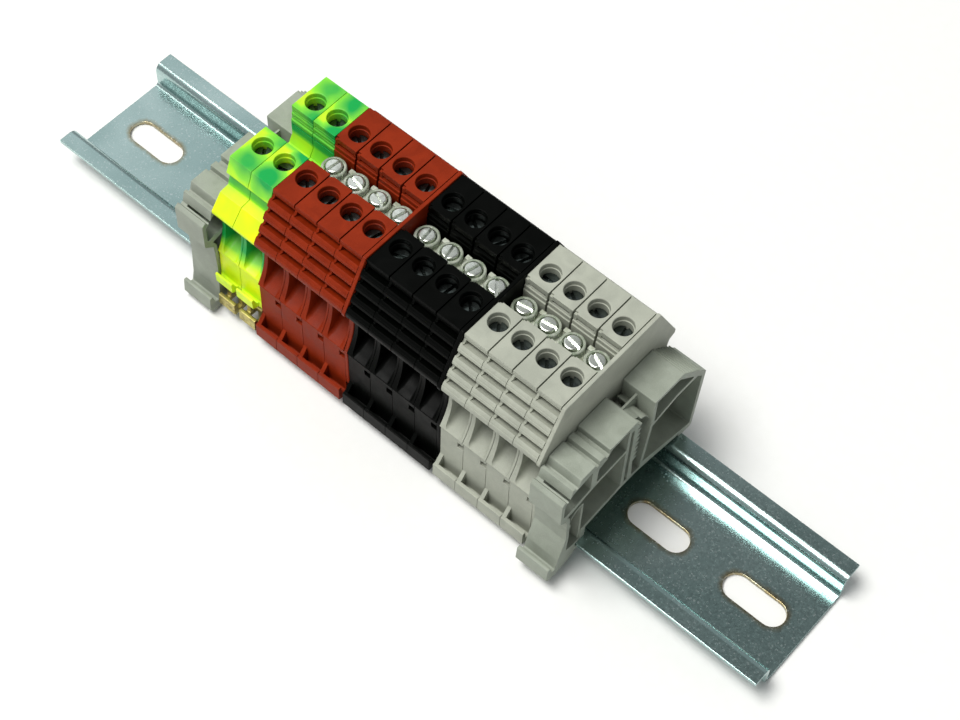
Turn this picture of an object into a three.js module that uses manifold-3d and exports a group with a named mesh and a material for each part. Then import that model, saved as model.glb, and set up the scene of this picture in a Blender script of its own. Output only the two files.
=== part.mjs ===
// A row of screw terminal blocks clipped on a slotted top-hat rail between two end brackets.
// Millimetres, +Z up. X runs along the rail, Y across it. The origin is the middle of the rail's back face.
import * as THREE from "three";
import { mergeVertices } from "three/addons/utils/BufferGeometryUtils.js";
import Module from "manifold-3d";

const wasm = await Module();
wasm.setup();

// ---------------------------------------------------------------- driving dimensions

const RAIL = { length: 200, width: 35, height: 7.5, thickness: 1, channel: 25, bend: 0.7 };
const RAIL_SLOT = { length: 15, width: 6.2, pitch: 25, count: 8 };

const PITCH = 6.2; // one terminal block along the rail
const SEAM = 0.1; // air between neighbouring pieces of the row
const COVER = 1; // an end cover's share of the row
const COVER_PROUD = 0.4; // how far a cover stands above the decks
const ROW_CENTRE = 0.8; // the row sits a little off the rail's middle
const DECK = 47; // top of the blocks above the rail's back
const BRACKET_WIDTH = 8.2;
const BRACKET_BACK = 1.6; // wall that the bracket keeps on its -X side

const WALL = 0.7; // closed side wall of a housing
const OPEN_SIDE_WALL = 0.6; // wall beside a wire entry on the housing's open side
const SCREW_Y = 7.8; // clamp screw axis from the rail's centre line
const SCREW_HOLE = 4.6;
const CHAMBER = { inner: 4.4, outer: 12.8, bottom: 20.4, top: 40.5 };
const VALLEY = { floor: 38, half: 3.4 };

const CLAMP_SCREW = { head: 4.2, top: 44.2, under: 41.5, shank: 3, end: 28.4, slot: 0.7, slotDepth: 1 };
const CAGE = { width: 4.5, length: 6.4, bottom: 21.2, top: 33.2, side: 0.6, foot: 1.5, head: 3 };
const CURRENT_BAR = { width: 3, half: 11.4, bottom: 26.2, top: 27.4 };
const BRIDGE = { collar: 5.5, collarBottom: 38.6, collarTop: 43.4, head: 4, top: 43.9, shaft: 2.6 };
const BRIDGE_BAR = { width: 3, bottom: 39.6, top: 41 };
const EARTH_FOOT = { width: 4.8, plateBottom: 7.6, plateTop: 8.8, post: 5, legWidth: 3 };

const FOOT_GAP = 0.1; // play between a foot and the rail's lip
const CLEARANCE = 0.3; // air round a metal part inside its housing
const THREAD_PLAY = 0.5; // the plain hole of a cage is wider than the shank by this much
const LAP = 0.1; // how far two joined shapes, or a cutter and its opening, run into each other
const ROUND = 12; // sides of a round hole or screw head
const THIN_ROUND = 8; // sides of a thin shaft

// ---------------------------------------------------------------- materials

function plastic(color, roughness) {
  return new THREE.MeshStandardMaterial({ color, roughness, metalness: 0 });
}

function metal(color, roughness) {
  return new THREE.MeshStandardMaterial({ color, roughness, metalness: 1 });
}

const MATERIAL = {
  zinc: metal(0x9fb0b8, 0.32),
  nickel: metal(0xc9cbc6, 0.25),
  brass: metal(0xb59a58, 0.35),
  earth: plastic(0x8fe02a, 0.42),
  red: plastic(0x99371f, 0.45),
  black: plastic(0x0d0f0e, 0.35),
  grey: plastic(0xa5a79d, 0.5),
};

// ---------------------------------------------------------------- solids

// A closed three.js geometry as a manifold-3d solid.
function solid(geometry) {
  const bare = geometry.clone();
  bare.deleteAttribute("normal");
  bare.deleteAttribute("uv");
  const merged = mergeVertices(bare, 1e-4);
  const mesh = new wasm.Mesh({
    numProp: 3,
    vertProperties: merged.attributes.position.array,
    triVerts: new Uint32Array(merged.index.array),
  });
  return new wasm.Manifold(mesh);
}

function join(first, ...others) {
  return others.reduce((sum, piece) => sum.add(piece), first);
}

function cut(body, ...tools) {
  return tools.reduce((rest, tool) => rest.subtract(tool), body);
}

function geometryOf(body) {
  const mesh = body.getMesh();
  const geometry = new THREE.BufferGeometry();
  geometry.setAttribute("position", new THREE.BufferAttribute(mesh.vertProperties, 3));
  geometry.setIndex(new THREE.BufferAttribute(mesh.triVerts, 1));
  geometry.computeVertexNormals();
  return geometry;
}

function shapeOf(points) {
  return new THREE.Shape(points.map(([u, v]) => new THREE.Vector2(u, v)));
}

// An outline of [y, z] points, drawn out along X from x0 to x1.
function prismX(points, x0, x1) {
  const geometry = new THREE.ExtrudeGeometry(shapeOf(points), { depth: x1 - x0, bevelEnabled: false });
  const turn = new THREE.Matrix4().makeBasis(
    new THREE.Vector3(0, 1, 0),
    new THREE.Vector3(0, 0, 1),
    new THREE.Vector3(1, 0, 0),
  );
  geometry.applyMatrix4(turn);
  geometry.translate(x0, 0, 0);
  return solid(geometry);
}

function box([x0, x1], [y0, y1], [z0, z1]) {
  const geometry = new THREE.BoxGeometry(x1 - x0, y1 - y0, z1 - z0);
  geometry.translate((x0 + x1) / 2, (y0 + y1) / 2, (z0 + z1) / 2);
  return solid(geometry);
}

function rodZ(diameter, [x, y], [z0, z1], sides = ROUND) {
  const geometry = new THREE.CylinderGeometry(diameter / 2, diameter / 2, z1 - z0, sides);
  geometry.rotateX(Math.PI / 2);
  geometry.translate(x, y, (z0 + z1) / 2);
  return solid(geometry);
}

// The other side of a half outline, walked back to the start.
function mirrored(half) {
  const back = half
    .filter(([y]) => Math.abs(y) > 1e-6)
    .reverse()
    .map(([y, z]) => [-y, z]);
  return [...half, ...back];
}

// ---------------------------------------------------------------- rail

// Points of a quarter bend from one direction to another, about a centre.
function bend([y, z], radius, from, to, steps = 3) {
  const points = [];
  for (let i = 0; i <= steps; i++) {
    const angle = THREE.MathUtils.degToRad(from + ((to - from) * i) / steps);
    points.push([y + radius * Math.cos(angle), z + radius * Math.sin(angle)]);
  }
  return points;
}

function railOutline() {
  const { width, height, thickness, channel, bend: inner } = RAIL;
  const outer = inner + thickness;
  const wall = channel / 2;
  const lip = height - thickness;
  const half = [
    [0, thickness],
    ...bend([wall - inner, thickness + inner], inner, -90, 0),
    ...bend([wall + outer, height - outer], outer, 180, 90),
    [width / 2, height],
    [width / 2, lip],
    ...bend([wall + outer, height - outer], inner, 90, 180),
    ...bend([wall - inner, thickness + inner], outer, 0, -90),
    [0, 0],
  ];
  return mirrored(half);
}

function railSlot(x) {
  const { length, width } = RAIL_SLOT;
  const radius = width / 2;
  const reach = length / 2 - radius;
  const shape = new THREE.Shape();
  shape.absarc(reach, 0, radius, -Math.PI / 2, Math.PI / 2);
  shape.absarc(-reach, 0, radius, Math.PI / 2, Math.PI * 1.5);
  const geometry = new THREE.ExtrudeGeometry(shape, {
    depth: RAIL.height,
    bevelEnabled: false,
    curveSegments: 5,
  });
  geometry.translate(x, 0, -RAIL.height / 2);
  return solid(geometry);
}

function rail() {
  let body = prismX(railOutline(), -RAIL.length / 2, RAIL.length / 2);
  for (let i = 0; i < RAIL_SLOT.count; i++) {
    body = cut(body, railSlot((i - (RAIL_SLOT.count - 1) / 2) * RAIL_SLOT.pitch));
  }
  return body;
}

// ---------------------------------------------------------------- housings

const LIP_EDGE = RAIL.width / 2 + 2 * FOOT_GAP;
const LIP_TOP = RAIL.height + FOOT_GAP;
const LIP_UNDER = RAIL.height - RAIL.thickness - 2 * FOOT_GAP;
const HOOK_REACH = RAIL.width / 2 - 0.7;

// Ribs and grooves between two points of a sloping shoulder; each rib is a flat step below its groove.
function shoulderRibs([y0, z0], [y1, z1], count, depth) {
  const length = Math.hypot(y1 - y0, z1 - z0);
  const sink = [(depth * (z1 - z0)) / length, (-depth * (y1 - y0)) / length];
  const at = (t, sunk) => [y0 + (y1 - y0) * t + sunk * sink[0], z0 + (z1 - z0) * t + sunk * sink[1]];
  const points = [];
  for (let i = 0; i < count; i++) {
    points.push(at((i + 0.2) / count, 1), at((i + 0.44) / count, 0), at((i + 1) / count, 0));
  }
  return points;
}

// Foot that hooks under the rail's lip, with a turned-up outer lip for a screwdriver.
function railFoot(wall, bottom) {
  return [
    [wall, bottom + 1.4],
    [wall + 1.4, bottom + 1.4],
    [wall + 1.5, bottom + 4.3],
    [wall + 2.3, bottom + 4.3],
    [wall + 2.4, bottom + 0.4],
    [wall + 2, bottom],
    [wall - 1.4, bottom],
    [HOOK_REACH, LIP_UNDER - 1.6],
    [HOOK_REACH, LIP_UNDER],
    [LIP_EDGE, LIP_UNDER],
    [LIP_EDGE, LIP_TOP],
  ];
}

function feedOutline() {
  const half = [
    [0, VALLEY.floor],
    [VALLEY.half, VALLEY.floor],
    [VALLEY.half, 43.6],
    [3.8, 43.9],
    [3.8, DECK],
    [14.3, DECK],
    [14.7, 46.1],
    ...shoulderRibs([14.9, 45.9], [20.9, 34.9], 4, 1),
    [20.9, 34],
    [19, 33.2],
    [18.6, 27],
    [19.5, 23.6],
    [21.3, 20.4],
    ...railFoot(20.8, 2.8),
    [11.4, LIP_TOP],
    [10.4, 9.6],
    [0, 9.6],
  ];
  return mirrored(half);
}

function earthOutline() {
  const half = [
    [0, 36.2],
    [2.2, 36.2],
    [3.8, 39.6],
    [3.8, DECK],
    [14.3, DECK],
    [15.5, 42.8],
    [14.8, 42.4],
    [15.9, 38.9],
    [18, 38.6],
    [20.9, 34.9],
    [20.9, 34],
    [19, 33.2],
    [18.6, 27],
    [19.5, 23.6],
    [20.9, 20.4],
    [21, 12.2],
    [22.2, 14.4],
    [22.6, 14.2],
    [22.4, 11.4],
    [19.6, 10],
    [0, 10],
  ];
  return mirrored(half);
}

// Passage for the wire from the outside face into the clamp chamber; side is -1 near, +1 far.
function wireEntry(side) {
  const section = [
    [24, 19.6],
    [21, 20.6],
    [16.6, 22.6],
    [CHAMBER.outer - LAP, 22.6],
    [CHAMBER.outer - LAP, 31],
    [16.6, 31.8],
    [19.2, 33.1],
    [24, 33.1],
  ];
  const points = section.map(([y, z]) => [side * y, z]);
  return prismX(points, WALL, PITCH - SEAM - OPEN_SIDE_WALL);
}

function clampChamber(side) {
  const [near, far] = [side * CHAMBER.inner, side * CHAMBER.outer].sort((a, b) => a - b);
  return box([WALL, PITCH], [near, far], [CHAMBER.bottom, CHAMBER.top]);
}

function screwHole(side) {
  return rodZ(SCREW_HOLE, [PITCH / 2, side * SCREW_Y], [CHAMBER.top - LAP, DECK + LAP]);
}

// A block's case, closed at x = 0 and open towards its neighbour at x = PITCH.
function housing(outline) {
  const body = prismX(outline, 0, PITCH - SEAM);
  const { bottom, top } = CURRENT_BAR;
  const reach = CHAMBER.inner + LAP;
  const barPassage = box([WALL, PITCH], [-reach, reach], [bottom - CLEARANCE, top + CLEARANCE]);
  const tools = [-1, 1].flatMap((side) => [wireEntry(side), clampChamber(side), screwHole(side)]);
  return cut(body, ...tools, barPassage);
}

function feedHousing() {
  const { shaft } = BRIDGE;
  const hole = shaft + 2 * CLEARANCE;
  const bridgeHole = rodZ(hole, [PITCH / 2, 0], [CURRENT_BAR.top + LAP, VALLEY.floor + LAP], THIN_ROUND);
  return cut(housing(feedOutline()), bridgeHole);
}

// The earth block's case is cut away below for the post of its metal foot.
function earthHousing() {
  const half = EARTH_FOOT.post / 2 + CLEARANCE;
  const postShaft = box([WALL, PITCH], [-half, half], [EARTH_FOOT.plateTop, CURRENT_BAR.bottom]);
  return cut(housing(earthOutline()), postShaft);
}

// Plate that closes the open side of the last block of a colour.
function endCover() {
  const half = [
    [0, DECK + COVER_PROUD],
    [14.5, DECK + COVER_PROUD],
    [21.3, 34.9],
    [21.3, 33.8],
    [19.2, 32.8],
    [18.9, 27],
    [19.8, 23.6],
    [21, 20.4],
    [20.9, LIP_TOP + CLEARANCE],
    [0, LIP_TOP + CLEARANCE],
  ];
  return prismX(mirrored(half), 0, COVER - SEAM);
}

// ---------------------------------------------------------------- metal parts

// Slotted clamp screw, standing at its own axis.
function clampScrew() {
  const { head, top, under, shank, end, slot, slotDepth } = CLAMP_SCREW;
  const body = join(
    rodZ(head, [0, 0], [under, top]),
    rodZ(shank, [0, 0], [end, under + LAP], THIN_ROUND),
  );
  return cut(body, box([-slot / 2, slot / 2], [-head, head], [top - slotDepth, top + LAP]));
}

// Rectangular clamp cage that a clamp screw draws up against the current bar.
function clampCage() {
  const { width, length, bottom, top, side, foot, head } = CAGE;
  const body = box([-width / 2, width / 2], [-length / 2, length / 2], [bottom, top]);
  const window = box([-width / 2 + side, width / 2 - side], [-length, length], [bottom + foot, top - head]);
  const thread = rodZ(CLAMP_SCREW.shank + THREAD_PLAY, [0, 0], [top - head - LAP, top + LAP], THIN_ROUND);
  return cut(body, window, thread);
}

function currentBar(x) {
  const { width, half, bottom, top } = CURRENT_BAR;
  return box([x - width / 2, x + width / 2], [-half, half], [bottom, top]);
}

// One bridge position: insulating collar, slotted screw and the current bar that it holds.
function bridgePost(x) {
  const { collar, collarBottom, collarTop, head, top, shaft } = BRIDGE;
  const post = join(
    currentBar(x),
    rodZ(shaft, [x, 0], [CURRENT_BAR.top - LAP, collarBottom + LAP], THIN_ROUND),
    rodZ(collar, [x, 0], [collarBottom, collarTop]),
    rodZ(head, [x, 0], [collarTop - LAP, top]),
  );
  const slot = CLAMP_SCREW.slot / 2;
  return cut(post, box([x - slot, x + slot], [-head, head], [top - CLAMP_SCREW.slotDepth, top + LAP]));
}

function crossBridge(count) {
  const { width, bottom, top } = BRIDGE_BAR;
  const posts = Array.from({ length: count }, (_, i) => bridgePost(i * PITCH));
  const bar = box([0, (count - 1) * PITCH], [-width / 2, width / 2], [bottom, top]);
  return join(bar, ...posts);
}

// Metal foot of an earth block: the current bar on a post, and hooks that grip both rail lips.
function earthFoot() {
  const { width, plateBottom, plateTop, post, legWidth } = EARTH_FOOT;
  const half = [
    [0, plateTop],
    [19.6, plateTop],
    [20.4, plateTop - 0.6],
    [20.4, 4.4],
    [21.6, 4.4],
    [21.9, 6.8],
    [22.8, 6.8],
    [22.9, 3.2],
    [18.9, 3.2],
    [HOOK_REACH, LIP_UNDER - 1],
    [HOOK_REACH, LIP_UNDER],
    [LIP_EDGE, LIP_UNDER],
    [LIP_EDGE, plateBottom],
    [0, plateBottom],
  ];
  const plate = prismX(mirrored(half), -width / 2, width / 2);
  const leg = box([-legWidth / 2, legWidth / 2], [-post / 2, post / 2], [plateTop - LAP, CURRENT_BAR.bottom + LAP]);
  return join(plate, leg, currentBar(0));
}

// ---------------------------------------------------------------- end bracket

function ratchet(y, [zTop, zBottom], count, depth) {
  const step = (zTop - zBottom) / count;
  const points = [];
  for (let i = 0; i < count; i++) {
    const z = zTop - i * step;
    points.push([y, z], [y + depth, z - 0.35 * step], [y + depth, z - 0.6 * step]);
  }
  points.push([y, zBottom]);
  return points;
}

function gripSteps([y0, z0], [y1, z1], count) {
  const points = [];
  for (let i = 0; i < count; i++) {
    const y = y0 + ((y1 - y0) * (i + 1)) / count;
    points.push([y, z0 + ((z1 - z0) * i) / count - 0.2], [y, z0 + ((z1 - z0) * (i + 1)) / count]);
  }
  return points;
}

function bracketOutline() {
  return [
    [-9.8, 36],
    [-1.2, 36],
    [-1.2, 34.6],
    ...ratchet(-0.8, [34, 19.4], 7, 1.2),
    [-0.4, 13.4],
    [3.2, 13.4],
    [4, 30],
    [4, 36.4],
    [12.6, 36.4],
    ...gripSteps([12.6, 36.4], [19.6, 29.8], 5),
    [22.2, 27],
    [19.9, 7],
    [19.4, 3.4],
    [18.4, 3],
    [HOOK_REACH, LIP_UNDER - 1.6],
    [HOOK_REACH, LIP_UNDER],
    [LIP_EDGE, LIP_UNDER],
    [LIP_EDGE, LIP_TOP],
    [-LIP_EDGE, LIP_TOP],
    [-LIP_EDGE, LIP_UNDER],
    [-HOOK_REACH, LIP_UNDER],
    [-HOOK_REACH, LIP_UNDER - 1.4],
    [-19.4, 3.6],
    [-21.2, 1.2],
    [-24.4, 1.2],
    [-25, 2.2],
    [-24.8, 6],
    [-24, 6],
    [-23.4, 3.6],
    [-22.4, 3.4],
    [-21.7, 6.2],
    [-21.3, 14],
    [-21.6, 22.4],
    [-23.9, 24.4],
    [-23.9, 31.6],
    [-22.8, 32.4],
    [-22.2, 31.2],
    [-21.6, 31.5],
    [-20.8, 34.2],
    [-20.2, 34.2],
    [-19.8, 33.2],
    [-19.2, 33.4],
    [-18.6, 35.5],
    [-14.2, 35.5],
    [-13.8, 34.2],
    [-13.1, 34.2],
    [-12.8, 35.3],
    [-11.4, 35.3],
    [-11.1, 34.2],
    [-10, 34.2],
  ];
}

// End bracket: one moulding, hollowed from its +X side between ribs.
function endBracket() {
  const body = prismX(bracketOutline(), 0, BRACKET_WIDTH);
  const pockets = [
    [[-22.3, 25.2], [-22.3, 30], [-19.4, 31.8], [-10.4, 32.8], [-2.4, 33.6], [-2.4, 28.4], [-12, 25.2]],
    [[-20.1, 23.6], [-11.6, 23.6], [-2.4, 26.6], [-2.4, 14.4], [-19.6, 9.2]],
    [[5.4, 34.8], [12, 34.8], [16.8, 30.2], [5.2, 25.4]],
    [[5.1, 23.8], [17.8, 29], [20.2, 26.4], [18.6, 12.6], [4.8, 12.6]],
  ];
  return cut(body, ...pockets.map((points) => prismX(points, BRACKET_BACK, BRACKET_WIDTH + LAP)));
}

// ---------------------------------------------------------------- assembly

const assembly = new THREE.Group();

function place(name, geometry, material, [x, y, z] = [0, 0, 0], parent = assembly) {
  const mesh = new THREE.Mesh(geometry, material);
  mesh.name = name;
  mesh.position.set(x, y, z);
  parent.add(mesh);
  return mesh;
}

const SHAPE = {
  feed: geometryOf(feedHousing()),
  earth: geometryOf(earthHousing()),
  cover: geometryOf(endCover()),
  screw: geometryOf(clampScrew()),
  cage: geometryOf(clampCage()),
  earthFoot: geometryOf(earthFoot()),
  bridge: geometryOf(crossBridge(4)),
  bracket: geometryOf(endBracket()),
};

// One block with its two clamp screws, at x along the row.
function terminalBlock(name, kind, x) {
  const block = new THREE.Group();
  block.position.x = x;
  assembly.add(block);
  const middle = PITCH / 2;
  place(`${name}_housing`, SHAPE[kind === "earth" ? "earth" : "feed"], MATERIAL[kind], [0, 0, 0], block);
  for (const [where, side] of [["near", -1], ["far", 1]]) {
    const axis = [middle, side * SCREW_Y, 0];
    place(`${name}_${where}_clamp_screw`, SHAPE.screw, MATERIAL.nickel, axis, block);
    if (kind === "earth") place(`${name}_${where}_clamp_cage`, SHAPE.cage, MATERIAL.nickel, axis, block);
  }
  if (kind === "earth") place(`${name}_rail_foot`, SHAPE.earthFoot, MATERIAL.brass, [middle, 0, 0], block);
}

const BANKS = [
  { kind: "earth", count: 2, covered: false },
  { kind: "red", count: 4, covered: true },
  { kind: "black", count: 4, covered: true },
  { kind: "grey", count: 4, covered: true },
];

place("din_rail", geometryOf(rail()), MATERIAL.zinc);

const blockCount = BANKS.reduce((sum, bank) => sum + bank.count, 0);
const coverCount = BANKS.filter((bank) => bank.covered).length;
const rowLength = blockCount * PITCH + coverCount * COVER;
const rowStart = ROW_CENTRE - rowLength / 2;

let x = rowStart;
for (const { kind, count, covered } of BANKS) {
  if (covered) place(`${kind}_cross_bridge`, SHAPE.bridge, MATERIAL.nickel, [x + PITCH / 2, 0, 0]);
  for (let i = 1; i <= count; i++) {
    terminalBlock(`${kind}_${i}`, kind, x);
    x += PITCH;
  }
  if (covered) {
    place(`${kind}_end_cover`, SHAPE.cover, MATERIAL[kind], [x, 0, 0]);
    x += COVER;
  }
}

place("end_bracket_left", SHAPE.bracket, MATERIAL.grey, [rowStart - BRACKET_WIDTH - SEAM, 0, 0]);
place("end_bracket_right", SHAPE.bracket, MATERIAL.grey, [x, 0, 0]);

export default assembly;
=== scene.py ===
"""Looks of a row of screw terminal blocks that is clipped on a slotted top-hat rail.

Shapes are worked out in millimetres in the row frame: X along the rail, Y across it, Z up from the
rail's back. Each finished piece is scaled to metres as it joins the scene.
"""
import math
import random

import bmesh
import bpy
from mathutils import Matrix, Quaternion, Vector


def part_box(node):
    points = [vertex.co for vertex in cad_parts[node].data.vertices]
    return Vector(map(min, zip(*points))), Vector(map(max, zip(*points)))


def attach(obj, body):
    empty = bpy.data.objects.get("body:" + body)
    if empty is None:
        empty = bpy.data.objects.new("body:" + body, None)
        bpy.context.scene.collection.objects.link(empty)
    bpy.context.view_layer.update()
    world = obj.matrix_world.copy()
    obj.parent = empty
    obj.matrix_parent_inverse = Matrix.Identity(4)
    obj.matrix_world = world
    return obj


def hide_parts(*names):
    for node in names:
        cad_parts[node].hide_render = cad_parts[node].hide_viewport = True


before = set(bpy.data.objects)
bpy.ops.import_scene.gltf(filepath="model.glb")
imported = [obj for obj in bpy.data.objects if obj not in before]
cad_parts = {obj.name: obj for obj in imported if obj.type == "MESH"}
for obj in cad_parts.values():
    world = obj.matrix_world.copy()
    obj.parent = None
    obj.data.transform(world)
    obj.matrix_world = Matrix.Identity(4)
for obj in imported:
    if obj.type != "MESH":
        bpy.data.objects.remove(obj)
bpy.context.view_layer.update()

MM = 0.001


def span(node):
    """Low and high corner of a CAD node, in millimetres."""
    low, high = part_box(node)
    return low / MM, high / MM


# ---------------------------------------------------------------- sizes taken from the frame

RAIL_LOW, RAIL_HIGH = span("din_rail")
CASE_LOW, CASE_HIGH = span("red_1_housing")
SCREW_LOW, SCREW_HIGH = span("red_1_far_clamp_screw")
CAGE_LOW, CAGE_HIGH = span("earth_1_far_clamp_cage")
COVER_LOW, COVER_HIGH = span("red_end_cover")
BRACKET_LOW, BRACKET_HIGH = span("end_bracket_left")

PITCH = span("red_2_housing")[0].x - CASE_LOW.x
WIDTH = CASE_HIGH.x - CASE_LOW.x
MIDDLE = PITCH / 2
DECK = CASE_HIGH.z
SCREW_Y = (SCREW_LOW.y + SCREW_HIGH.y) / 2
SCREW_TOP = SCREW_HIGH.z
EARTH_START = span("earth_1_housing")[0].x
COVER_WIDTH = COVER_HIGH.x - COVER_LOW.x
BRACKET_WIDTH = BRACKET_HIGH.x - BRACKET_LOW.x
RAIL_HALF = RAIL_HIGH.y
RAIL_TOP = RAIL_HIGH.z
BRIDGE_TOP = span("red_cross_bridge")[1].z

# ---------------------------------------------------------------- sizes of the fine shapes

SHEET = 1.0  # thickness of the rail
SLOT = {"pitch": 25.0, "count": 8, "reach": 4.4, "radius": 3.1}  # reach of a slot's arc centres
WALL = 0.7  # closed side of a case
OPEN_WALL = 0.5  # wall beside a wire entry on the open side
CHAMBER = {"inner": 4.4, "outer": 12.8, "bottom": 20.4, "top": 40.5}
HOLE = {"rim": 2.42, "upper": 2.28, "lower": 2.08, "ledge": 1.3}
VALLEY_FLOOR = 38.0
TOWER_INNER = 3.8
TOWER_OUTER = 14.3
SHOULDER_TOP = Vector((14.8, DECK - 1.0))
SHOULDER_END = Vector((20.9, DECK - 12.2))
RIBS = 4
RIB_GAP = (0.02, 0.36)  # start and end of the gap before a rib, as shares of the ribs' pitch
RIB_END = 0.985
RIB_LINE = {"place": 0.69, "depth": 0.16}  # place as a share of the pitch
RIB_BULGE = 0.32
RIB_STEPS = 6
GAP_SHIFT = 0.045  # how much further down the slope the deep gaps lie, as a share of the pitch
GAP_DEPTH = 2.9
GAP_WALL = 0.6  # closed side of the deep gaps
LEDGE = 20.4  # lower edge of the wire entries
FOOT_BOTTOM = 2.8
LIP_UNDER = 6.3
LIP_OVER = 7.6
LIP_EDGE = RAIL_HALF + 0.2
HOOK = RAIL_HALF - 0.7
BAR = {"half": 11.4, "width": 3.0, "bottom": 26.2, "top": 27.4}  # current bar
BAR_PLAY = 0.3
PLATE_TOP = 8.8  # upper face of an earth foot's plate
STRIP = {"radius": 1.5, "bottom": 39.6, "top": 41.0}  # bar of a cross bridge
STRIP_PLAY = 0.1
BRACKET_BACK = 1.6  # closed side of an end bracket
SPRUNG_FOOT = {"out": 1.5, "up": 1.8}  # how the right bracket's near foot stands off from its latch
ARC_STEPS = 4
TINY = 0.05  # how far a cutter runs past the face that it opens
MERGE = 0.002  # corners nearer than this are one
FLAT_ANGLE = 0.5  # degrees within which faces count as one flat face
BEVEL_ANGLE = 33  # degrees from which an edge is rounded
SHARP_ANGLE = 35  # degrees from which the shading breaks

scene = bpy.context.scene

# ---------------------------------------------------------------- outlines


def rounded(corners, closed=True):
    """Points of an outline, closed or open-ended. A corner given as (u, v, radius) gets an arc."""
    points = []
    for i, corner in enumerate(corners):
        here = Vector(corner[:2])
        at_end = not closed and i in (0, len(corners) - 1)
        if len(corner) == 2 or at_end:
            points.append(here)
            continue
        before = (Vector(corners[i - 1][:2]) - here).normalized()
        after = (Vector(corners[(i + 1) % len(corners)][:2]) - here).normalized()
        half = before.angle(after) / 2
        centre = here + (before + after).normalized() * corner[2] / math.sin(half)
        first = before * corner[2] / math.tan(half) + here - centre
        last = after * corner[2] / math.tan(half) + here - centre
        start = math.atan2(first.y, first.x)
        sweep = (math.atan2(last.y, last.x) - start + math.pi) % math.tau - math.pi
        for k in range(ARC_STEPS + 1):
            angle = start + sweep * k / ARC_STEPS
            points.append(centre + corner[2] * Vector((math.cos(angle), math.sin(angle))))
    return points


def bow(start, middle, end, steps=8):
    """Points of a parabola that starts, passes its middle and ends at the three points."""
    a, m, b = Vector(start), Vector(middle), Vector(end)
    pull = 2 * m - (a + b) / 2
    return [
        a * (1 - t) ** 2 + pull * 2 * t * (1 - t) + b * t * t
        for t in (k / steps for k in range(steps + 1))
    ]


def mirrored(half):
    """A half outline closed by its mirror image across the middle plane."""
    half = [Vector(p) for p in half]
    return half + [Vector((-p.x, p.y)) for p in reversed(half) if abs(p.x) > 1e-6]


def flipped(points, side):
    """The outline on the far side (+1) or the near side (-1)."""
    return [Vector((side * p[0], p[1])) for p in points]


def between(side, inner, outer):
    """Low and high Y of what lies between two distances from the middle plane, on one side."""
    return sorted((side * inner, side * outer))


def arc(centre, radius, start, end, steps=7):
    """Points of an arc, between two directions in degrees."""
    angles = (math.radians(start + (end - start) * k / steps) for k in range(steps + 1))
    return [(centre[0] + radius * math.cos(a), centre[1] + radius * math.sin(a)) for a in angles]


# ---------------------------------------------------------------- meshes


def mesh_of(bm):
    """The mesh of a finished bmesh, with its faces turned outward."""
    bmesh.ops.recalc_face_normals(bm, faces=bm.faces)
    mesh = bpy.data.meshes.new("shape")
    bm.to_mesh(mesh)
    bm.free()
    return mesh


def loft(rings):
    """A closed solid through rings that all have the same number of points."""
    bm = bmesh.new()
    rows = [[bm.verts.new(point) for point in ring] for ring in rings]
    bm.faces.new(rows[0])
    bm.faces.new(reversed(rows[-1]))
    for low, high in zip(rows, rows[1:]):
        for i in range(len(low)):
            j = (i + 1) % len(low)
            bm.faces.new((low[i], low[j], high[j], high[i]))
    return mesh_of(bm)


def prism(points, x0, x1):
    """An outline of (y, z) points drawn out along X."""
    return loft([[(x, p[0], p[1]) for p in points] for x in (x0, x1)])


def block(x0, x1, y0, y1, z0, z1):
    """A box between two values on each axis."""
    return prism([(y0, z0), (y1, z0), (y1, z1), (y0, z1)], x0, x1)


def turned(profile, centre=(0, 0), sides=32):
    """A solid of revolution about an upright axis, from (radius, z) points."""
    x, y = centre
    rings = []
    for radius, z in profile:
        angles = (math.tau * k / sides for k in range(sides))
        rings.append([(x + radius * math.cos(a), y + radius * math.sin(a), z) for a in angles])
    return loft(rings)


def oblong(x0, x1, radius, z0, z1, steps=7):
    """An upright solid with straight sides and half-round ends, from one end's centre to the other's."""
    ring = arc((x1, 0), radius, -90, 90, steps) + arc((x0, 0), radius, 90, 270, steps)
    return loft([[(x, y, z) for x, y in ring] for z in (z0, z1)])


def on_bench(mesh):
    """An object for a mesh, for as long as modifiers work on it."""
    obj = bpy.data.objects.new("bench", mesh)
    scene.collection.objects.link(obj)
    return obj


def off_bench(body, tools=()):
    """The evaluated mesh of a bench object, which is then cleared away with its tools."""
    bpy.context.view_layer.update()
    graph = bpy.context.evaluated_depsgraph_get()
    made = bpy.data.meshes.new_from_object(body.evaluated_get(graph))
    for obj in (body, *tools):
        mesh = obj.data
        bpy.data.objects.remove(obj)
        bpy.data.meshes.remove(mesh)
    return made


def combined(base, operation, shapes):
    """A mesh after an exact boolean with each of the shapes in turn."""
    body = on_bench(base)
    tools = [on_bench(shape) for shape in shapes]
    for tool in tools:
        step = body.modifiers.new(operation, "BOOLEAN")
        step.operation = operation
        step.solver = "EXACT"
        step.object = tool
    return off_bench(body, tools)


def cut(base, *shapes):
    return combined(base, "DIFFERENCE", shapes)


def joined(base, *shapes):
    return combined(base, "UNION", shapes)


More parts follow.
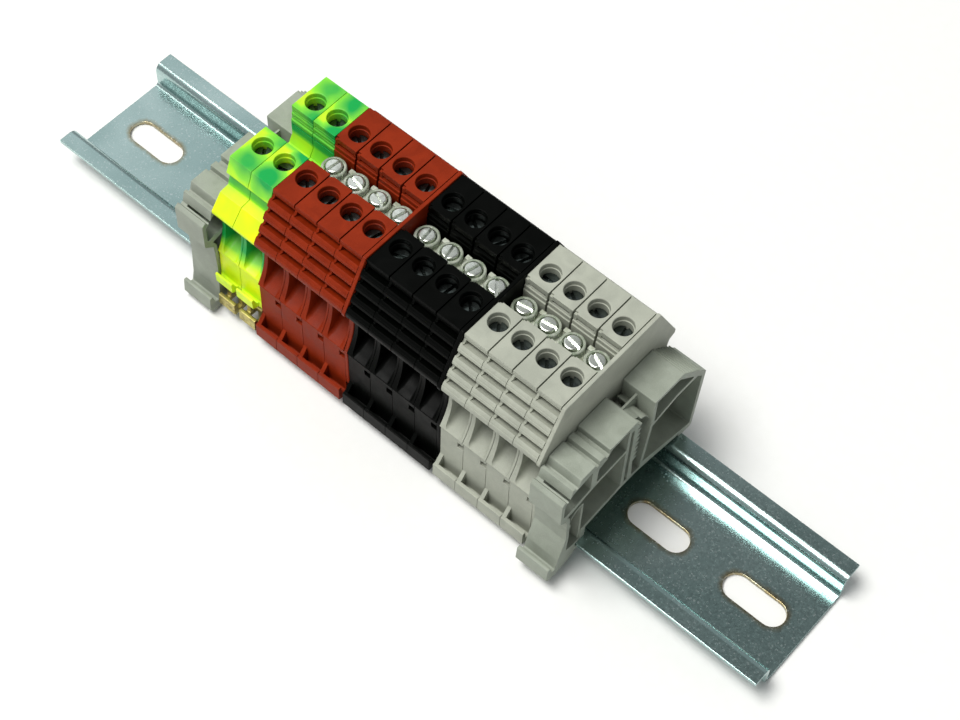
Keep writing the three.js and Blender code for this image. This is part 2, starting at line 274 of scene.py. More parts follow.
def finished(mesh, edge=0.08, segments=2):
    """Clean faces, edges rounded by a bevel, and smooth shading over it."""
    bm = bmesh.new()
    bm.from_mesh(mesh)
    bmesh.ops.remove_doubles(bm, verts=bm.verts, dist=MERGE)
    flat = math.radians(FLAT_ANGLE)
    bmesh.ops.dissolve_limit(bm, angle_limit=flat, verts=bm.verts, edges=bm.edges)
    bm.to_mesh(mesh)
    bm.free()
    body = on_bench(mesh)
    if edge:
        bevel = body.modifiers.new("edge", "BEVEL")
        bevel.width = edge
        bevel.segments = segments
        bevel.limit_method = "ANGLE"
        bevel.angle_limit = math.radians(BEVEL_ANGLE)
        bevel.use_clamp_overlap = False
        bevel.miter_outer = "MITER_ARC"
    made = off_bench(body)
    made.shade_smooth()
    made.set_sharp_from_angle(angle=math.radians(SHARP_ANGLE))
    body = on_bench(made)
    weighted = body.modifiers.new("normals", "WEIGHTED_NORMAL")
    weighted.keep_sharp = True
    return off_bench(body)


# ---------------------------------------------------------------- materials


class Paint:
    """A material under construction: its node tree, its Principled shader and a few helpers."""

    def __init__(self, name):
        self.material = bpy.data.materials.new(name)
        self.material.use_nodes = True
        self.nodes = self.material.node_tree.nodes
        self.links = self.material.node_tree.links
        self.shader = self.nodes["Principled BSDF"]
        coordinates = self.nodes.new("ShaderNodeTexCoord")
        scaled = self.nodes.new("ShaderNodeMapping")
        scaled.inputs["Scale"].default_value = (1 / MM,) * 3
        self.links.new(coordinates.outputs["Object"], scaled.inputs["Vector"])
        self.place = scaled.outputs["Vector"]

    def put(self, kind, settings=(), **inputs):
        """A node with its settings made and each input linked or set."""
        node = self.nodes.new("ShaderNode" + kind)
        for key, value in dict(settings).items():
            setattr(node, key, value)
        for key, value in inputs.items():
            socket = node.inputs[key if key in node.inputs else key.replace("_", " ")]
            self.feed(socket, value)
        return node

    def feed(self, socket, value):
        """Link a socket to another node's output, or set it to a value."""
        if isinstance(value, bpy.types.NodeSocket):
            self.links.new(value, socket)
        else:
            socket.default_value = value

    def noise(self, scale, detail=2.0, distortion=0.0, stretch=None):
        """Noise whose features are about 1/scale millimetres wide."""
        place = self.place
        if stretch:
            place = self.put("Mapping", Vector=place, Scale=stretch).outputs["Vector"]
        made = self.put("TexNoise", Vector=place, Scale=scale, Detail=detail, Distortion=distortion)
        return made.outputs["Fac"]

    def spread(self, value, low, high, start=0.0, end=1.0):
        """A value taken from one range to another, held at the ends."""
        settings = {"From Min": low, "From Max": high, "To Min": start, "To Max": end}
        node = self.put("MapRange", Value=value)
        for key, number in settings.items():
            self.feed(node.inputs[key], number)
        return node.outputs["Result"]

    def mix(self, factor, first, second):
        """A colour that goes from the first to the second as the factor goes from 0 to 1."""
        node = self.put("Mix", {"data_type": "RGBA"})
        self.feed(node.inputs["Factor"], factor)
        self.feed(node.inputs["A"], first)
        self.feed(node.inputs["B"], second)
        return next(s for s in node.outputs if s.type == "RGBA")

    def maths(self, operation, *values):
        node = self.nodes.new("ShaderNodeMath")
        node.operation = operation
        for socket, value in zip(node.inputs, values):
            self.feed(socket, value)
        return node.outputs[0]

    def sum(self, first, second, share=1.0):
        """first + share * second"""
        return self.maths("MULTIPLY_ADD", second, share, first)

    def product(self, first, second):
        return self.maths("MULTIPLY", first, second)

    def axes(self):
        """The X, Y and Z of the place, in millimetres."""
        node = self.put("SeparateXYZ", Vector=self.place)
        return [node.outputs[axis] for axis in "XYZ"]

    def length(self, u, v):
        """How far (u, v) is from zero."""
        return self.maths("SQRT", self.sum(self.product(u, u), self.product(v, v)))

    def bump(self, height, depth, strength=1.0):
        """Relief in the shading, depth in millimetres."""
        node = self.put("Bump", Height=height, Distance=depth * MM, Strength=strength)
        self.feed(self.shader.inputs["Normal"], node.outputs["Normal"])

    def set(self, **inputs):
        for key, value in inputs.items():
            self.feed(self.shader.inputs[key.replace("_", " ")], value)


def rgb(r, g, b):
    """A colour given in sRGB bytes, as the linear colour that a shader takes."""
    linear = [((c / 255 + 0.055) / 1.055) ** 2.4 if c > 10 else c / 255 / 12.92 for c in (r, g, b)]
    return (*linear, 1.0)


def plastic(name, base, light, dark, roughness, gloss):
    """Moulded polyamide: slight flow mottling, a fine eroded grain and specks of dust."""
    paint = Paint(name)
    flow = paint.noise(0.22, detail=3.0, distortion=0.8)
    grain = paint.noise(7.0, detail=3.0)
    speck = paint.noise(3.1, detail=1.0)
    tone = paint.mix(paint.spread(flow, 0.35, 0.65), dark, base)
    tone = paint.mix(paint.spread(grain, 0.45, 0.75, 0.0, 0.35), tone, light)
    tone = paint.mix(paint.spread(speck, 0.70, 0.78, 0.0, 0.30), tone, light)
    shine = paint.spread(flow, 0.3, 0.7, roughness - 0.05, roughness + 0.07)
    paint.set(Base_Color=tone, Roughness=paint.sum(shine, grain, 0.08))
    paint.shader.inputs["Specular IOR Level"].default_value = gloss
    paint.bump(paint.sum(grain, speck, 0.4), 0.012, 0.55)
    return paint.material


def marbled():
    """Yellow plastic clouded with green, as on protective earth blocks, with extra green in the recesses
    that is partly marbling and partly painted shade.
    """
    paint = Paint("earth_plastic")
    yellow, lime, green = rgb(226, 240, 14), rgb(140, 222, 48), rgb(0, 156, 68)
    cloud = paint.noise(0.11, detail=1.0, distortion=0.5)
    streak = paint.noise(0.24, detail=0.0, distortion=0.7)
    grain = paint.noise(7.0, detail=3.0)
    # green clouds, plus green in the wire entries and the recessed band that is partly painted shade
    amount = paint.sum(paint.sum(green_clouds_and_painted_shade(paint, streak), cloud, 0.50), streak, 0.20)
    tone = paint.mix(paint.spread(amount, 0.26, 0.66), yellow, lime)
    tone = paint.mix(paint.spread(amount, 0.54, 1.20), tone, green)
    paint.set(Base_Color=tone, Roughness=paint.spread(grain, 0.3, 0.7, 0.34, 0.46))
    paint.shader.inputs["Specular IOR Level"].default_value = 0.3
    paint.shader.inputs["Subsurface Weight"].default_value = 0.15
    paint.shader.inputs["Subsurface Radius"].default_value = (0.6, 0.9, 0.2)
    paint.shader.inputs["Subsurface Scale"].default_value = MM
    paint.bump(grain, 0.010, 0.5)
    return paint.material


def green_clouds_and_painted_shade(paint, wander):
    """Green clouds beside the screw holes and none at the outer steps; green in the wire entries and the
    recessed band that is partly marbling and partly painted shade; greener in the valley between the
    towers.
    """
    x, y, z = paint.axes()
    along = paint.maths("MODULO", paint.sum(x, 1.0, -EARTH_START), PITCH)
    across = paint.maths("ABSOLUTE", y)
    total = 0.0
    clouds = ((5.8, 4.4, 4.6), (3.6, 12.6, 4.8))  # place along and across a block, and reach
    for u, v, reach in clouds:
        off = paint.length(paint.sum(along, -u), paint.sum(across, -v))
        cloud = paint.spread(paint.sum(off, wander, -2.0), 0.0, reach - 1.0, 1.0, 0.0)
        total = paint.maths("MAXIMUM", cloud, total)
    seam = EARTH_START + PITCH
    second = paint.spread(x, seam - 1.0, seam + 1.0, 0.75, 1.1)
    deck = paint.product(paint.product(total, second), paint.spread(z, DECK - 7.0, DECK - 0.6))
    # partly painted shade: green in the wire entries, whose funnels lie in shade
    entry = paint.product(
        paint.spread(across, 18.9, 20.6, 1.2, 0.0),
        paint.product(paint.spread(z, 20.6, 24.5), paint.spread(z, 33.0, 34.0, 1.0, 0.0)),
    )
    # partly painted shade: green in the recessed band under the outer step's lip
    band = paint.product(
        paint.spread(across, 15.5, 16.6, 0.85, 0.0),
        paint.product(paint.spread(z, 38.6, 40.0), paint.spread(z, 41.5, 43.0, 1.0, 0.3)),
    )
    # greener in the valley between the towers
    valley = paint.product(paint.spread(across, 4.0, 5.2, 0.45, 0.0), second)
    outside = paint.sum(entry, band)
    return paint.product(paint.sum(paint.maths("MAXIMUM", deck, valley), outside), 0.72)


def zinc():
    """Zinc plating with a blue passivation: fine spangle, drawn lines and a straw tint at the slots."""
    paint = Paint("zinc")
    x, y, _ = paint.axes()
    cloud = paint.noise(0.035, detail=3.0, distortion=0.6)
    stain = paint.noise(0.5, detail=3.0, distortion=0.8)
    spangle = paint.put("TexVoronoi", Vector=paint.place, Scale=3.2)
    cell = paint.put("SeparateColor", Color=spangle.outputs["Color"]).outputs[0]
    lines = paint.noise(0.9, detail=4.0, stretch=(0.03, 1.6, 1.6))
    pits = paint.noise(1.6, detail=4.0)
    half = SLOT["pitch"] / 2
    from_web = paint.maths("PINGPONG", x, half)
    along = paint.maths("MAXIMUM", 0.0, paint.sum(half - SLOT["reach"], from_web, -1.0))
    rim = paint.sum(paint.length(along, y), stain, -1.6)
    blue, teal, straw = rgb(184, 206, 204), rgb(156, 182, 180), rgb(150, 126, 72)
    tone = paint.mix(paint.spread(cloud, 0.35, 0.65), blue, teal)
    tone = paint.mix(paint.spread(rim, SLOT["radius"] - 1.0, SLOT["radius"] + 0.4, 0.85, 0.0), tone, straw)
    tone = paint.mix(paint.spread(cell, 0.90, 1.0, 0.0, 0.35), tone, rgb(236, 242, 242))
    shine = paint.sum(paint.spread(cell, 0.0, 1.0, 0.16, 0.22), pits, 0.10)
    paint.set(Base_Color=tone, Metallic=1.0, Roughness=shine)
    relief = paint.sum(paint.sum(pits, lines, 0.3), paint.spread(cell, 0.90, 1.0), 0.5)
    paint.bump(relief, 0.003, 0.12)
    return paint.material


def plated(name, base, tint, roughness, depth=0.006):
    """Bright plated metal with faint drawing lines and spots of tarnish."""
    paint = Paint(name)
    spots = paint.noise(0.9, detail=3.0, distortion=0.5)
    lines = paint.noise(4.0, detail=3.0, stretch=(1.0, 6.0, 1.0))
    tone = paint.mix(paint.spread(spots, 0.45, 0.7, 0.0, 0.8), base, tint)
    shine = paint.sum(paint.spread(spots, 0.3, 0.7, roughness, roughness + 0.14), lines, 0.08)
    paint.set(Base_Color=tone, Metallic=1.0, Roughness=shine)
    paint.bump(paint.sum(lines, spots, 0.5), depth, 0.5)
    return paint.material


def clear(name, base, roughness, through):
    """Clear or milky moulded plastic."""
    paint = Paint(name)
    cloud = paint.noise(0.8, detail=2.0)
    tone = paint.mix(paint.spread(cloud, 0.35, 0.65), base, rgb(226, 232, 216))
    paint.set(Base_Color=tone, Roughness=paint.spread(cloud, 0.3, 0.7, roughness, roughness + 0.1))
    paint.shader.inputs["Transmission Weight"].default_value = through
    paint.shader.inputs["IOR"].default_value = 1.45
    paint.bump(cloud, 0.01, 0.3)
    return paint.material


# The material of each finish, with the slot it fills.
FINISH = {
    "rail": (zinc(), "rail"),
    "earth": (marbled(), "earth_plastic"),
    "red": (
        plastic("red", rgb(130, 37, 8), rgb(152, 58, 24), rgb(116, 31, 6), 0.44, 0.10),
        "red_plastic",
    ),
    "black": (
        plastic("black", rgb(3, 4, 3), rgb(9, 10, 9), rgb(2, 3, 2), 0.34, 0.05),
        "black_plastic",
    ),
    "grey": (
        plastic("grey", rgb(162, 165, 152), rgb(184, 187, 174), rgb(150, 153, 141), 0.50, 0.25),
        "grey_plastic",
    ),
    "bracket": (
        plastic("bracket", rgb(148, 154, 142), rgb(168, 174, 162), rgb(136, 142, 130), 0.48, 0.22),
        "grey_plastic",
    ),
    # painted shade: the clamp screws' zinc is far darker than the cages' zinc, standing in for the shade
    # and dark reflections inside the deep screw holes
    "screw": (plated("screw_zinc_darkened_as_shade", rgb(96, 104, 102), rgb(66, 72, 70), 0.09, 0.003), "screw"),
    "cage": (plated("cage_zinc", rgb(168, 172, 172), rgb(110, 116, 116), 0.30), "cage"),
    "bridge": (plated("nickel", rgb(238, 242, 234), rgb(192, 198, 186), 0.14, 0.003), "bridge"),
    "collar": (clear("clear_collar", rgb(176, 190, 166), 0.10, 0.55), "bridge"),
    "carrier": (clear("milky_carrier", rgb(170, 176, 154), 0.30, 0.30), "bridge"),
    "brass": (plated("bronze", rgb(190, 178, 112), rgb(120, 108, 60), 0.30), "brass"),
}


def place(name, shape, finish, at=(0, 0, 0), turn=0.0, body="root", stands_for=None):
    """A copy of a shape as a piece of the object, turned about its own Z and moved to a place."""
    mesh = shape.copy()
    mesh.name = name
    spin = Matrix.Rotation(turn, 4, "Z")
    mesh.transform(Matrix.Translation(Vector(at) * MM) @ spin @ Matrix.Scale(MM, 4))
    material, slot = FINISH[finish]
    mesh.materials.clear()
    mesh.materials.append(material)
    obj = bpy.data.objects.new(name, mesh)
    scene.collection.objects.link(obj)
    if stands_for:
        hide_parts(stands_for)
    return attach(obj, body)


# ---------------------------------------------------------------- rail


def rail_shape():
    """Top-hat rail, bent from sheet and punched with a row of long slots."""
    channel, inner = 12.5, 1.0
    outer = inner + SHEET
    half = [
        (0, SHEET),
        *arc((channel - inner, SHEET + inner), inner, -90, 0),
        *arc((channel + outer, RAIL_TOP - outer), outer, 180, 90),
        (RAIL_HALF, RAIL_TOP),
        (RAIL_HALF, RAIL_TOP - SHEET),
        *arc((channel + outer, RAIL_TOP - outer), inner, 90, 180),
        *arc((channel - inner, SHEET + inner), outer, 0, -90),
        (0, 0),
    ]
    body = prism(mirrored(half), RAIL_LOW.x, RAIL_HIGH.x)
    first = (SLOT["count"] - 1) / 2
    slots = [slot_cutter((i - first) * SLOT["pitch"]) for i in range(SLOT["count"])]
    return finished(cut(body, *slots), edge=0.12)


def slot_cutter(x):
    """Cutter for a slot of the rail about a place along it."""
    return oblong(x - SLOT["reach"], x + SLOT["reach"], SLOT["radius"], -SHEET, 3 * SHEET, 14)


# ---------------------------------------------------------------- cases


def slope(part, depth):
    """A point on the shoulder: part of the way down it, and so deep below its surface."""
    along = SHOULDER_END - SHOULDER_TOP
    inward = Vector((along.y, -along.x)).normalized()
    return SHOULDER_TOP + along * part + inward * depth


def rib_points(depth):
    """The ribbed shoulder: bulging ribs with a fine line along each, and gaps of the given depth."""
    line, sunk = RIB_LINE["place"], RIB_LINE["depth"]
    first, last = RIB_GAP[1], RIB_END
    points = []
    for i in range(RIBS):
        points += [slope((i + RIB_GAP[0]) / RIBS, depth), slope((i + first - 0.05) / RIBS, depth)]
        for step in range(RIB_STEPS + 1):
            t = step / RIB_STEPS
            part = first + (last - first) * t
            bulge = RIB_BULGE * math.sin(math.pi * (0.12 + 0.76 * t))
            points.append(slope((i + part) / RIBS, -bulge))
            if part < line <= first + (last - first) * (step + 1) / RIB_STEPS:
                points.append(slope((i + line) / RIBS, sunk - bulge))
    return points


def rail_foot():
    """Foot that hooks under the rail's lip, with a turned-up lip outside for a screwdriver."""
    wall, bottom = 20.8, FOOT_BOTTOM
    return [
        (wall, bottom + 1.4, 0.25),
        (wall + 1.4, bottom + 1.4, 0.25),
        (wall + 1.5, bottom + 4.3),
        (wall + 2.3, bottom + 4.3, 0.2),
        (wall + 2.4, bottom + 0.4, 0.3),
        (wall + 2.0, bottom, 0.2),
        (wall - 1.4, bottom),
        (HOOK, LIP_UNDER - 1.6),
        (HOOK, LIP_UNDER),
        (LIP_EDGE, LIP_UNDER),
        (LIP_EDGE, LIP_OVER),
    ]


def feed_outline():
    """Side view of a feed-through case, with its two towers and a valley for the bridge."""
    half = [
        (0, VALLEY_FLOOR),
        (TOWER_INNER - 0.5, VALLEY_FLOOR),
        (TOWER_INNER - 0.5, 43.2),
        (TOWER_INNER - 0.25, 43.4),
        (TOWER_INNER - 0.25, 44.4),
        (TOWER_INNER, 44.6),
        (TOWER_INNER, DECK),
        (TOWER_OUTER, DECK),
        (TOWER_OUTER + 0.15, DECK - 0.7),
        *rib_points(0.5),
        (20.9, 34.0, 0.15),
        *bow((19.3, 33.3), (18.6, 27.0), (21.2, LEDGE)),
        (20.8, LEDGE - 0.7),
        *rail_foot(),
        (11.4, LIP_OVER),
        (10.4, 9.6),
        (0, 9.6),
    ]
    return mirrored(rounded(half, closed=False))


def earth_outline():
    """Side view of an earth case, whose shoulders step down."""
    half = [
        (0, 36.2),
        (2.2, 36.2),
        (3.3, 38.2),
        (3.3, 42.9),
        (3.6, 43.1),
        (3.6, 44.7),
        (TOWER_INNER, 44.9),
        (TOWER_INNER, DECK),
        (TOWER_OUTER - 0.1, DECK),
        (14.6, 45.6),
        (15.7, 42.9),
        (15.3, 42.4),
        (14.7, 42.3),
        (15.6, 38.9),
        (17.9, 38.6),
        (18.2, 38.3),
        (20.9, 34.9),
        (20.9, 34.1),
        (19.2, 33.3),
        *bow((19.1, 33.1), (18.6, 27.0), (20.7, LEDGE)),
        (20.4, LEDGE - 0.8),
        (20.6, 12.4),
        (21.1, 11.9, 0.2),
        (22.1, 14.3),
        (22.6, 14.2, 0.15),
        (22.5, 11.2, 0.4),
        (19.6, 10),
        (0, 10),
    ]
    return mirrored(rounded(half, closed=False))


def entry_section(y, left_low, left_high, low, high, radius):
    """One section of a wire funnel: wider at its top than at its rounded bottom."""
    right, upper_radius = WIDTH - OPEN_WALL, 0.25
    corners = [
        (left_low, low, radius),
        (right, low, radius),
        (right, high, upper_radius),
        (left_high, high, upper_radius),
    ]
    return [(p.x, y, p.y) for p in rounded(corners)]


def wire_entry(side):
    """Funnel for the wire, from the outside into the clamp chamber."""
    # distance out, left edge low and high, bottom, top, radius of the bottom corners
    sections = (
        (24.0, 1.5, 0.9, 19.0, 33.1, 0.5),
        (21.2, 1.3, 0.8, 20.55, 33.1, 0.7),
        (19.4, 1.2, 0.75, 21.0, 33.0, 1.1),
        (16.6, 1.1, 0.9, 22.8, 31.8, 1.4),
        (12.7, 1.1, 1.0, 23.0, 31.0, 1.4),
    )
    return loft([entry_section(side * y, *rest) for y, *rest in sections])


def screw_hole(side):
    """Hole over a clamp screw, with a broken rim and a ledge part of the way down."""
    profile = (
        (HOLE["rim"] + TINY, DECK + TINY),
        (HOLE["upper"], DECK - 0.14),
        (HOLE["upper"], DECK - HOLE["ledge"]),
        (HOLE["lower"], DECK - HOLE["ledge"] - 0.1),
        (HOLE["lower"] + 0.15, CHAMBER["top"] - TINY),
    )
    return turned(profile, (MIDDLE, side * SCREW_Y))


def chamber(side):
    """Space for a clamp cage, open at the case's +X side."""
    stretch = between(side, CHAMBER["inner"], CHAMBER["outer"])
    return block(WALL, PITCH, *stretch, CHAMBER["bottom"], CHAMBER["top"])


def rib_gaps(side):
    """Deep gaps between the ribs, which stop short of the closed side wall."""
    cutters = []
    for i in range(RIBS):
        start, end = ((i + share + GAP_SHIFT) / RIBS for share in RIB_GAP)
        points = [slope(start, -1), slope(start, GAP_DEPTH), slope(end, GAP_DEPTH), slope(end, -1)]
        cutters.append(prism(flipped(points, side), GAP_WALL, PITCH))
    return cutters


def base_case(points):
    """A case with its screw holes, clamp chambers, wire entries and the passage of the current bar."""
    body = prism(points, 0, WIDTH)
    reach = CHAMBER["inner"] + TINY
    tools = [block(WALL, PITCH, -reach, reach, BAR["bottom"] - BAR_PLAY, BAR["top"] + BAR_PLAY)]
    for side in (-1, 1):
        tools += [wire_entry(side), chamber(side), screw_hole(side)]
    return cut(body, *tools)


def feed_case():
    """Case of a feed-through block."""
    bridge_bore = turned([(1.7, BAR["top"] - 0.1), (1.7, VALLEY_FLOOR + TINY)], (MIDDLE, 0), 16)
    tools = [bridge_bore]
    tabs = []
    for side in (-1, 1):
        tools += rib_gaps(side)
        tools.append(test_notch(side))
        tools.append(corner_notch(side))
        tools.append(tower_slot(side))
        tools += seam_grooves(side)
        tabs.append(foot_tab(side))
    return finished(joined(cut(base_case(feed_outline()), *tools), *tabs), edge=0.05)


def test_notch(side):
    """Small square opening for a test probe, at the open edge of the outer wall."""
    return block(WIDTH - 1.55, PITCH, *between(side, 18.4, 22.0), 16.7, 18.5)


def corner_notch(side):
    """Step at the inner corner of the deck, for a marker strip."""
    stretch = between(side, TOWER_INNER - 1, TOWER_INNER + 0.55)
    return block(-TINY, 0.75, *stretch, DECK - 0.55, DECK + TINY)


def tower_slot(side):
    """Slot across the inner wall of a tower."""
    stretch = between(side, TOWER_INNER - 1, TOWER_INNER + 1.6)
    return block(0.75, WIDTH - 0.9, *stretch, DECK - 2.2, DECK - 1.4)


def seam_grooves(side):
    """Shadow lines where the next block's case begins: along the deck, and down the inner wall."""
    deck = between(side, TOWER_INNER - 1, TOWER_OUTER + 0.6)
    wall = between(side, TOWER_INNER - 1, TOWER_INNER + 0.7)
    return [
        block(WIDTH - 0.2, PITCH, *deck, DECK - 1.2, DECK + TINY),
        block(WIDTH - 0.4, PITCH, *wall, VALLEY_FLOOR + 0.5, DECK - 0.6),
    ]


def foot_tab(side):
    """Gusset that closes the channel of a foot at the closed side."""
    points = [(20.6, 4.0), (22.5, 4.0), (22.75, 7.0), (22.3, 7.3), (20.6, 9.4)]
    return prism(flipped(points, side), 0, 0.95)


def earth_case():
    """Case of an earth block, open below for the post of its metal foot."""
    tools = [block(WALL, PITCH, -2.8, 2.8, PLATE_TOP, BAR["bottom"])]
    for side in (-1, 1):
        # the ears over the foot are narrower than the case
        for x0, x1 in ((-TINY, 0.3), (WIDTH - 0.9, PITCH)):
            tools.append(block(x0, x1, *between(side, 20.75, 24), 9, 15))
        # fine grooves in the inner walls of the towers
        for z in (DECK - 1.6, DECK - 3.2, DECK - 5.6):
            inner_wall = between(side, 3.0, TOWER_INNER + 0.3)
            tools.append(block(0.6, WIDTH + TINY, *inner_wall, z, z + 0.35))
    return finished(cut(base_case(earth_outline()), *tools), edge=0.09)


def cover_shape():
    """Plate over the open side of the last block of a colour."""
    half = [
        (0, COVER_HIGH.z),
        (14.5, COVER_HIGH.z, 0.35),
        (21.2, 34.8, 0.5),
        (21.1, 33.8, 0.3),
        *bow((19.5, 33.1), (18.85, 27.0), (21.0, LEDGE)),
        (20.85, COVER_LOW.z),
        (0, COVER_LOW.z),
    ]
    plate = prism(mirrored(rounded(half, closed=False)), 0, COVER_WIDTH)
    return finished(plate, edge=0.17, segments=3)


# ---------------------------------------------------------------- metal parts


def threaded(radius, depth, pitch, z0, z1, sides=20):
    """Rings of a threaded shank between two heights."""
    rings_per_turn = 5
    rows = int((z1 - z0) / pitch * rings_per_turn)
    rings = []
    for row in range(rows + 1):
        z = z0 + (z1 - z0) * row / rows
        ring = []
        for k in range(sides):
            phase = ((z - z0) / pitch - k / sides) % 1
            r = radius - depth * abs(2 * phase - 1)
            angle = math.tau * k / sides
            ring.append((r * math.cos(angle), r * math.sin(angle), z))
        rings.append(ring)
    return rings


def circle(radius, z, sides=20):
    """A level ring of points about the upright axis."""
    return [
        (radius * math.cos(math.tau * k / sides), radius * math.sin(math.tau * k / sides), z)
        for k in range(sides)
    ]


def slotted(body, top, width, depth, reach):
    """A screw with a slot across its head."""
    return cut(body, block(-width / 2, width / 2, -reach, reach, top - depth, top + 1))


def clamp_screw():
    """Slotted clamp screw on its own axis."""
    end, under = SCREW_LOW.z, 41.5
    radius = (SCREW_HIGH.y - SCREW_LOW.y) / 2
    rings = [circle(0.9, end), circle(1.25, end + 0.4)]
    rings += threaded(1.5, 0.28, 0.5, end + 0.5, under - 0.8)
    rings += [circle(1.25, under - 0.6), circle(1.25, under), circle(radius - 0.12, under + 0.02)]
    rings += [circle(radius, under + 0.15), circle(radius, SCREW_TOP - 0.35)]
    rings += [circle(radius - 0.1, SCREW_TOP - 0.12), circle(radius - 0.32, SCREW_TOP)]
    return finished(slotted(loft(rings), SCREW_TOP, 0.75, 1.1, radius + 1), edge=0)


def groove(y, half, face, tip, reach):
    """Cutter for a V groove along X."""
    return prism([(y - half, face), (y, tip), (y + half, face)], -reach, reach)


def clamp_cage():
    """Clamp cage on its screw's axis: a bent frame with a grooved sole."""
    half, length = (CAGE_HIGH.x - CAGE_LOW.x) / 2, (CAGE_HIGH.y - CAGE_LOW.y) / 2
    bottom, top, side = CAGE_LOW.z, CAGE_HIGH.z, 0.6
    sole = bottom + 1.5
    body = block(-half, half, -length, length, bottom, top)
    window = block(-half + side, half - side, -length - 1, length + 1, sole, top - 3.0)
    thread = turned([(1.62, top - 3.1), (1.62, top + TINY)], sides=24)
    grooves = [
        groove(y, 0.3, sole + TINY, bottom + 1.1, half - side) for y in (-2.2, -1.1, 0.0, 1.1, 2.2)
    ]
    return finished(cut(body, window, thread, *grooves), edge=0.12)


def current_bar():
    """Flat bar between the two clamps, grooved where the wires are pressed."""
    half, width, bottom = BAR["half"], BAR["width"], BAR["bottom"]
    body = block(-width / 2, width / 2, -half, half, bottom, BAR["top"])
    grooves = [
        groove(y, 0.35, bottom - TINY, bottom + 0.25, width) for y in (-9.4, -8.2, -7.0, 7.0, 8.2, 9.4)
    ]
    return cut(body, *grooves)


def bridge_holes(count, radius, bottom, top=42):
    """Cutters for the holes of a bridge, one at each screw."""
    return [turned([(radius, bottom), (radius, top)], (i * PITCH, 0), 20) for i in range(count)]


def strip_space(x0, x1):
    """The space that a bridge bar takes, with its play."""
    half = STRIP["radius"] + STRIP_PLAY
    return block(x0, x1, -half, half, STRIP["bottom"] - STRIP_PLAY, STRIP["top"] + STRIP_PLAY)


def bridge_strip(count):
    """Bar that joins the blocks of a colour, with a hole at each screw."""
    body = oblong(0, (count - 1) * PITCH, STRIP["radius"], STRIP["bottom"], STRIP["top"])
    return finished(cut(body, *bridge_holes(count, 1.35, 39)), edge=0.1)


def bridge_carrier(count):
    """Milky strip that carries the bar, with lugs between the collars."""
    end = (count - 1) * PITCH
    body = oblong(0, end, 2.5, VALLEY_FLOOR + 0.1, STRIP["bottom"] - STRIP_PLAY, 10)
    holes = bridge_holes(count, 1.4, 37)
    middles = [(i + 0.5) * PITCH for i in range(count - 1)]
    lugs = [block(x - 0.7, x + 0.7, 1.65, 2.75, 38.4, 42.2) for x in middles]
    ties = [block(x - 0.75, x + 0.75, -2.3, 2.7, 38.3, 41.7) for x in middles]
    space = strip_space(-2, end + 2)
    return finished(joined(cut(joined(body, *ties), *holes, space), *lugs), edge=0.12)


def bridge_collar():
    """Insulating collar round a bridge screw."""
    outer, bottom, top, sides = 2.75, 38.7, 43.4, 40
    outside = [
        (outer - 0.35, bottom),
        (outer - 0.3, top - 2.6),
        (outer, top - 2.3),
        (outer, top - 0.25),
        (outer - 0.2, top),
    ]
    inside = [(1.7, bottom - 1), (1.7, top - 1.9), (1.98, top - 1.7), (2.1, top + TINY)]
    body, bore = turned(outside, sides=sides), turned(inside, sides=sides)
    return finished(cut(body, bore, strip_space(-PITCH, PITCH)), edge=0.1)


def bridge_screw():
    """Slotted screw that holds the bridge bar to a current bar."""
    top, shank, head, sides = BRIDGE_TOP, 1.3, 1.82, 32
    bar, strip, under = BAR["top"], STRIP["bottom"], STRIP["top"] + 0.05
    rings = [circle(shank - 0.3, bar + 0.05, sides)]
    rings += threaded(shank, 0.2, 0.5, bar + 0.5, strip - 0.6, sides)
    rings += [circle(shank, strip - 0.4, sides), circle(shank, under, sides)]
    rings += [circle(head - 0.07, under + 0.05, sides), circle(head, under + 0.25, sides)]
    rings += [circle(head, top - 0.35, sides), circle(head - 0.12, top - 0.12, sides)]
    rings.append(circle(head - 0.37, top, sides))
    return finished(slotted(loft(rings), top, 0.7, 0.95, 3), edge=0)


def earth_foot():
    """One stamping: hooks on both rail lips, a plate over the rail, a post and the current bar."""
    width = 4.8
    half = [
        (0, PLATE_TOP),
        (20.4, PLATE_TOP, 0.8),
        (20.4, 4.4, 0.2),
        (21.6, 4.4, 0.3),
        (21.9, 6.8, 0.2),
        (22.8, 6.8, 0.2),
        (22.9, 3.2, 0.6),
        (18.9, 3.2),
        (HOOK, 5.3),
        (HOOK, LIP_UNDER),
        (LIP_EDGE, LIP_UNDER),
        (LIP_EDGE, LIP_OVER),
        (0, LIP_OVER),
    ]
    plate = prism(mirrored(rounded(half, closed=False)), -width / 2, width / 2)
    windows = [block(-1.1, 1.1, *between(side, 18.0, 21.4), 2.4, 6.9) for side in (-1, 1)]
    post = block(-1.5, 1.5, -2.5, 2.5, PLATE_TOP - 0.1, BAR["bottom"] + 0.1)
    return finished(joined(cut(plate, *windows), post, current_bar()), edge=0.12)


# ---------------------------------------------------------------- end bracket


def ratchet(y, z_top, z_bottom, count, depth):
    """Saw teeth down a wall."""
    step = (z_top - z_bottom) / count
    points = []
    for i in range(count):
        z = z_top - i * step
        points += [(y, z), (y + depth, z - 0.32 * step), (y + depth, z - 0.5 * step), (y, z - 0.92 * step)]
    return points


def steps_down(start, end, count):
    """Grip steps between two points, with a fine groove along each tread."""
    a, b = Vector(start), Vector(end)
    points = []
    for i in range(count):
        low, high = a.lerp(b, i / count), a.lerp(b, (i + 1) / count)
        edge = Vector((high.x, low.y))
        sunk = low.lerp(edge, 0.69) - Vector((0, 0.22))
        points += [low.lerp(edge, 0.55), sunk, low.lerp(edge, 0.83), edge, high]
    return points


